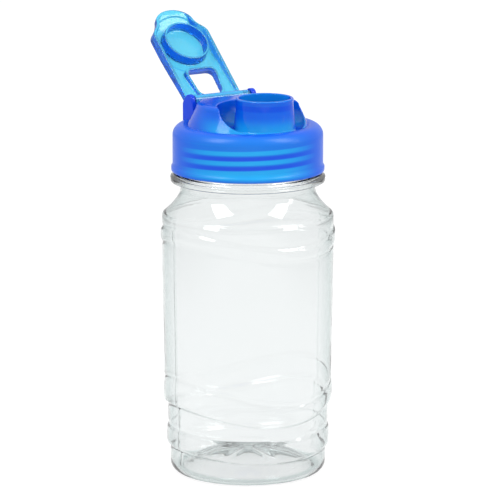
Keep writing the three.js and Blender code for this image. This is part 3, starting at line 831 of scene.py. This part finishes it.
def block(low, high):
    """A box between two corners."""
    bm = bmesh.new()
    bmesh.ops.create_cube(bm, size=1)
    size = Vector(high) - Vector(low)
    bmesh.ops.scale(bm, verts=bm.verts[:], vec=size)
    bmesh.ops.translate(bm, verts=bm.verts[:], vec=(Vector(low) + Vector(high)) / 2)
    return bm


def make_dome(shrink):
    """The dome with the spout's scoop and the hinge's bay cut from it."""
    dome = scratch_object(dome_cone(shrink))
    bay = block((-40, BAY_FRONT - shrink, RECESS_Z - shrink), (40, 60, DOME_TOP + 3))
    return combine(dome, [dome_scoop(shrink), bay], "DIFFERENCE")


def ear(sign):
    """One ear of the hinge: round top about the hinge axis, upright rear edge, sloping front edge."""
    y, z = HINGE.y, HINGE.z
    outline = [(y - 6.0, CEILING_Z + 0.5), (y + 4.8, CEILING_Z + 0.5), (y + 4.8, z - 1.6)]
    outline += arc((y + 3.6, z - 1.6), 1.2, 0, 40, 3)
    outline += arc((y, z), EAR_ROUND, 40, 150, 10)
    low = min(sign * EAR_INNER, sign * EAR_OUTER)
    return prism(outline, low, low + EAR_WIDTH, SIDEWAYS)


def make_crown():
    """Recess floor, dome and hinge ears as one moulding."""
    disc = cylinder(RECESS_RADIUS + 0.3, CEILING_Z, RECESS_Z, 128)
    crown = make_dome(0)
    hollow = make_dome(DOME_WALL)
    bore = cylinder(SPOUT_RADIUS - 0.3, CEILING_Z - 2, DOME_TOP, 96, (0, SPOUT_Y))
    pin_holes = rod(PIN_HOLE_RADIUS, EAR_OUTER - 0.7, 32, HINGE)
    combine(crown, [disc, ear(-1), ear(1)], "UNION")
    combine(crown, [taken_mesh(hollow), bore, pin_holes], "DIFFERENCE")
    return moulded(crown, VOXEL, 2)


def make_spout():
    """The glossy drinking spout with a rolled rim and a filleted foot."""
    foot = SPOUT_RADIUS + SPOUT_FLARE
    top = CAP_TOP
    profile = [(BORE_RADIUS, CEILING_Z), (foot - 0.9, CEILING_Z), (foot, RECESS_Z - 0.3)]
    profile += [(foot, RECESS_Z + 0.02)]
    profile += arc((foot, RECESS_Z + 1.05), 1.05, 265, 184, 7)
    for up in rows(0, 10.4, 0.8):
        profile.append((SPOUT_RADIUS + 0.8 - SPOUT_DRAFT * smooth(up / 10), RECESS_Z + 1.3 + up))
    profile += [(SPOUT_RADIUS - 0.08, top - 1.6)]
    profile += arc((SPOUT_RADIUS - 0.52, top - 0.6), (0.55, 0.6), -20, 90, 7)
    profile += arc((BORE_RADIUS + 0.45, top - 0.5), (0.45, 0.5), 90, 180, 5)
    profile += [(BORE_RADIUS, z) for z in rows(top - 1.5, CEILING_Z, 1.5)]
    return scratch_object(turned(profile, 160, closed=True, middle=(0, SPOUT_Y)))


# ==== Lid ===========================================================================================
def bezier(points, count):
    """Points along a cubic curve, with its end left out."""
    a, b, c, d = (Vector(p) for p in points)
    made = []
    for i in range(count):
        t = i / count
        s = 1 - t
        p = a * s ** 3 + b * 3 * s * s * t + c * 3 * s * t * t + d * t ** 3
        made.append((p.x, p.y))
    return made


def lid_outline(inward):
    """Seen from above when closed: straight sides, then a narrower rounded thumb tab at the tip."""
    side = LID_HALF - inward
    nose = NOSE_HALF - inward
    tip = inward - TIP_U
    rear = 2.4 - inward
    start = 5.8 - TIP_U
    turn_in = 1.2 - HEAD_U
    half = bezier(((side, turn_in), (side, turn_in - 4.2), (nose + 0.5, start + 3.8), (nose, start)), 12)
    half += bezier(((nose, start), (nose - 0.5, start - 3.2), (4.6, tip), (0, tip)), 14)
    other = [(-x, y) for x, y in half[::-1]]
    return [(-side, rear), (side, rear)] + half + [(0, tip)] + other


def lid_crown(u):
    """Height of the lid's outer face above the lip, along the lid."""
    rise = CROWN_REAR + CROWN_RISE * smooth(u / 34)
    fall_from = HEAD_U + 2.0
    return rise - CROWN_FALL * smooth((u - fall_from) / (TIP_U - fall_from))


def lid_side(lowered, low):
    """The lid's side view as a wide block, from low up to its outer face or a skin's depth below it."""
    outline = [(5.0, low), (5.0, LIP_H + CROWN_REAR - lowered)]
    outline += [(-u, LIP_H + lid_crown(u) - lowered) for u in rows(0, TIP_U + 1, 1.0)]
    outline += [(-TIP_U - 1, LIP_H + lid_crown(TIP_U) - lowered), (-TIP_U - 1, low)]
    return prism(outline[::-1], -30, 30, SIDEWAYS)


def rounded_quad(rear_half, front_half, rear_u, front_u, corner):
    """A four-sided outline, wider at its front, with rounded corners."""
    right = [Vector((rear_half, -rear_u)), Vector((front_half, -front_u))]
    corners = right + [Vector((-point.x, point.y)) for point in right[::-1]]
    points = []
    for i, point in enumerate(corners):
        before = (corners[i - 1] - point).normalized()
        after = (corners[(i + 1) % 4] - point).normalized()
        start = point + before * corner
        end = point + after * corner
        points += bezier((start, start.lerp(point, 0.6), end.lerp(point, 0.6), end), 6)
        points.append((end.x, end.y))
    return points


def make_plug():
    """The ring that plugs the spout's bore, with a lead-in round its free edge."""
    outer, inner = PLUG_RADIUS, PLUG_RADIUS - PLUG_WALL
    low = LIP_H - 1.2
    profile = [(inner, low), (outer - 0.5, low), (outer - 0.15, low + 0.4)]
    profile += [(outer, PLUG_TOP), (inner, PLUG_TOP)]
    return turned(profile, 128, closed=True, middle=(0, -PLUG_U))


def lid_hollow(wall, skin, low, high):
    """What is scooped out of the lid's underside, up to a skin below its outer face."""
    hollow = scratch_object(prism(lid_outline(wall), low, high, UPRIGHT))
    combine(hollow, [lid_side(skin, low - 1)], "INTERSECT")
    return hollow


def make_lid():
    """Shell, finger hole with its collar, plug, and the hinge's web, barrel and pins."""
    low = LIP_H - 1
    high = LIP_H + 7
    lid = scratch_object(prism(lid_outline(0), LIP_H, high, UPRIGHT))
    combine(lid, [lid_side(0, low)], "INTERSECT")
    pan = lid_hollow(LID_WALL, LID_SKIN, low, high)
    combine(pan, [block((-20, -TIP_U - 2, low - 1), (20, -2.9, high + 1))], "INTERSECT")
    head_zone = scratch_object(cylinder(HEAD_ZONE_RADIUS, low, high, 96, (0, -PLUG_U)))
    combine(head_zone, [prism(lid_outline(HEAD_ZONE_WALL), low - 1, high + 1, UPRIGHT)], "INTERSECT")
    combine(head_zone, [lid_side(HEAD_ZONE_SKIN, low - 0.7)], "INTERSECT")
    combine(lid, [taken_mesh(pan)], "DIFFERENCE")
    combine(lid, [taken_mesh(head_zone)], "DIFFERENCE")
    collar = scratch_object(prism(rounded_quad(*FINGER_COLLAR), LIP_H, high, UPRIGHT))
    combine(collar, [lid_side(0, low)], "INTERSECT")
    combine(lid, [taken_mesh(collar)], "UNION")
    combine(lid, [prism(rounded_quad(*FINGER_HOLE), low - 1, high, UPRIGHT)], "DIFFERENCE")
    web_side = [(-BARREL_RADIUS, 0), (BARREL_RADIUS, 0)]
    web_side += [(BARREL_RADIUS, LIP_H + 1.2), (-BARREL_RADIUS, LIP_H + 1.2)]
    web = prism(web_side, -LID_HALF, LID_HALF, SIDEWAYS)
    barrel = rod(BARREL_RADIUS, LID_HALF, 40, (0, 0, 0))
    pins = rod(PIN_RADIUS, EAR_OUTER - 0.9, 32, (0, 0, 0))
    combine(lid, [make_plug(), web, barrel, pins], "UNION")
    return store_wall_shade(moulded(lid, LID_VOXEL, 3))


# ==== Setting =======================================================================================
CAMERA_SIDE = 32.5
CAMERA_AWAY = 1.703
CAMERA_HEIGHT = 0.4565
CAMERA_TILT = 0.2074
CAMERA_AIM = 0.00055
CAMERA_LENS = 286.5
LIGHT_TARGET = Vector((0, 0, 0.13))
ROOM_LIGHT = 0.78
FLOOR_LIGHT = 0.90
FLOOR_DEPTH = 0.0002


def sideways_and_near():
    """The camera's right, and the way from the bottle to the camera, both level."""
    turn = math.radians(CAMERA_SIDE)
    right = Vector((math.cos(turn), -math.sin(turn), 0))
    near = Vector((-math.sin(turn), -math.cos(turn), 0))
    return right, near


def make_camera():
    """A long lens, a little above the bottle and looking slightly down."""
    near = sideways_and_near()[1]
    data = bpy.data.cameras.new("camera")
    data.lens = CAMERA_LENS
    data.sensor_width = 36
    data.clip_end = 50
    camera = bpy.data.objects.new("camera", data)
    camera.location = near * CAMERA_AWAY + Vector((0, 0, CAMERA_HEIGHT))
    camera.rotation_euler = (math.pi / 2 - CAMERA_TILT, 0, -math.radians(CAMERA_SIDE) - CAMERA_AIM)
    bpy.context.scene.collection.objects.link(camera)
    bpy.context.scene.camera = camera


def soft_light(name, direction, distance, size, power):
    """A softbox that looks at the bottle's upper half."""
    data = bpy.data.lights.new(name, "AREA")
    data.shape = "RECTANGLE"
    data.size, data.size_y = size
    data.energy = power
    light = bpy.data.objects.new(name, data)
    light.location = LIGHT_TARGET + direction.normalized() * distance
    light.rotation_euler = (LIGHT_TARGET - light.location).to_track_quat("-Z", "Y").to_euler()
    bpy.context.scene.collection.objects.link(light)


def make_lights():
    """Two large softboxes in front, left and right, and a narrow one from the right side."""
    right, near = sideways_and_near()
    up = Vector((0, 0, 1))
    soft_light("left_softbox", -0.57 * right + 0.40 * near + 0.70 * up, 1.1, (0.42, 0.70), 6.5)
    soft_light("right_softbox", 0.66 * right + 0.31 * near + 0.68 * up, 1.1, (0.38, 0.70), 6.0)
    soft_light("side_softbox", 0.95 * right + 0.2 * near + 0.25 * up, 1.2, (0.16, 0.5), 1.0)


def make_world():
    """An even white room."""
    world = bpy.data.worlds.new("studio")
    world.use_nodes = True
    background = world.node_tree.nodes["Background"]
    background.inputs["Color"].default_value = (1, 1, 1, 1)
    background.inputs["Strength"].default_value = ROOM_LIGHT
    bpy.context.scene.world = world
    bpy.context.scene.view_settings.view_transform = "Standard"


def make_floor():
    """A plain pale floor that glows softly in the middle and falls off to both sides."""
    material, tree, shader = new_material("pale_floor", Roughness=0.9)
    shader.inputs["Base Color"].default_value = (0.12, 0.12, 0.12, 1)
    shader.inputs["Emission Strength"].default_value = FLOOR_LIGHT
    right = sideways_and_near()[0]
    place = node(tree, "ShaderNodeTexCoord")
    across = node(tree, "ShaderNodeVectorMath", operation="DOT_PRODUCT")
    across.inputs[1].default_value = right
    tree.links.new(place.outputs["Object"], across.inputs[0])
    aside = ramp(tree, maths(tree, "ABSOLUTE", across.outputs["Value"]), 0.22, 0.6)
    glow = mixed(tree, aside, (1, 1, 1, 1), (0.45, 0.46, 0.47, 1))
    tree.links.new(glow, shader.inputs["Emission Color"])
    bm = bmesh.new()
    bmesh.ops.create_grid(bm, x_segments=4, y_segments=4, size=8)
    mesh = bpy.data.meshes.new("floor")
    bm.to_mesh(mesh)
    bm.free()
    floor = bpy.data.objects.new("floor", mesh)
    floor.data.materials.append(material)
    floor.data.transform(Matrix.Translation((0, 0, -FLOOR_DEPTH)))
    bpy.context.scene.collection.objects.link(floor)


# ==== The whole =====================================================================================
make_camera()
make_lights()
make_world()
make_floor()

clear = clear_plastic()
glossy_blue = crown_plastic()
light_blue = lid_plastic()
finish(make_bottle(), "bottle_shell", "bottle", [clear], "bottle")
finish(make_seal(), "sealing_liner", "seal", [seal_rubber()], "seal_ring")
finish(make_skirt(), "cap_skirt", "cap", [skirt_plastic()], "screw_cap")
finish(make_crown(), "cap_crown", "cap", [glossy_blue])
finish(make_spout(), "cap_spout", "cap", [glossy_blue])
finish(make_lid(), "lid_moulding", "lid", [light_blue], "flip_lid", LID_PLACE)
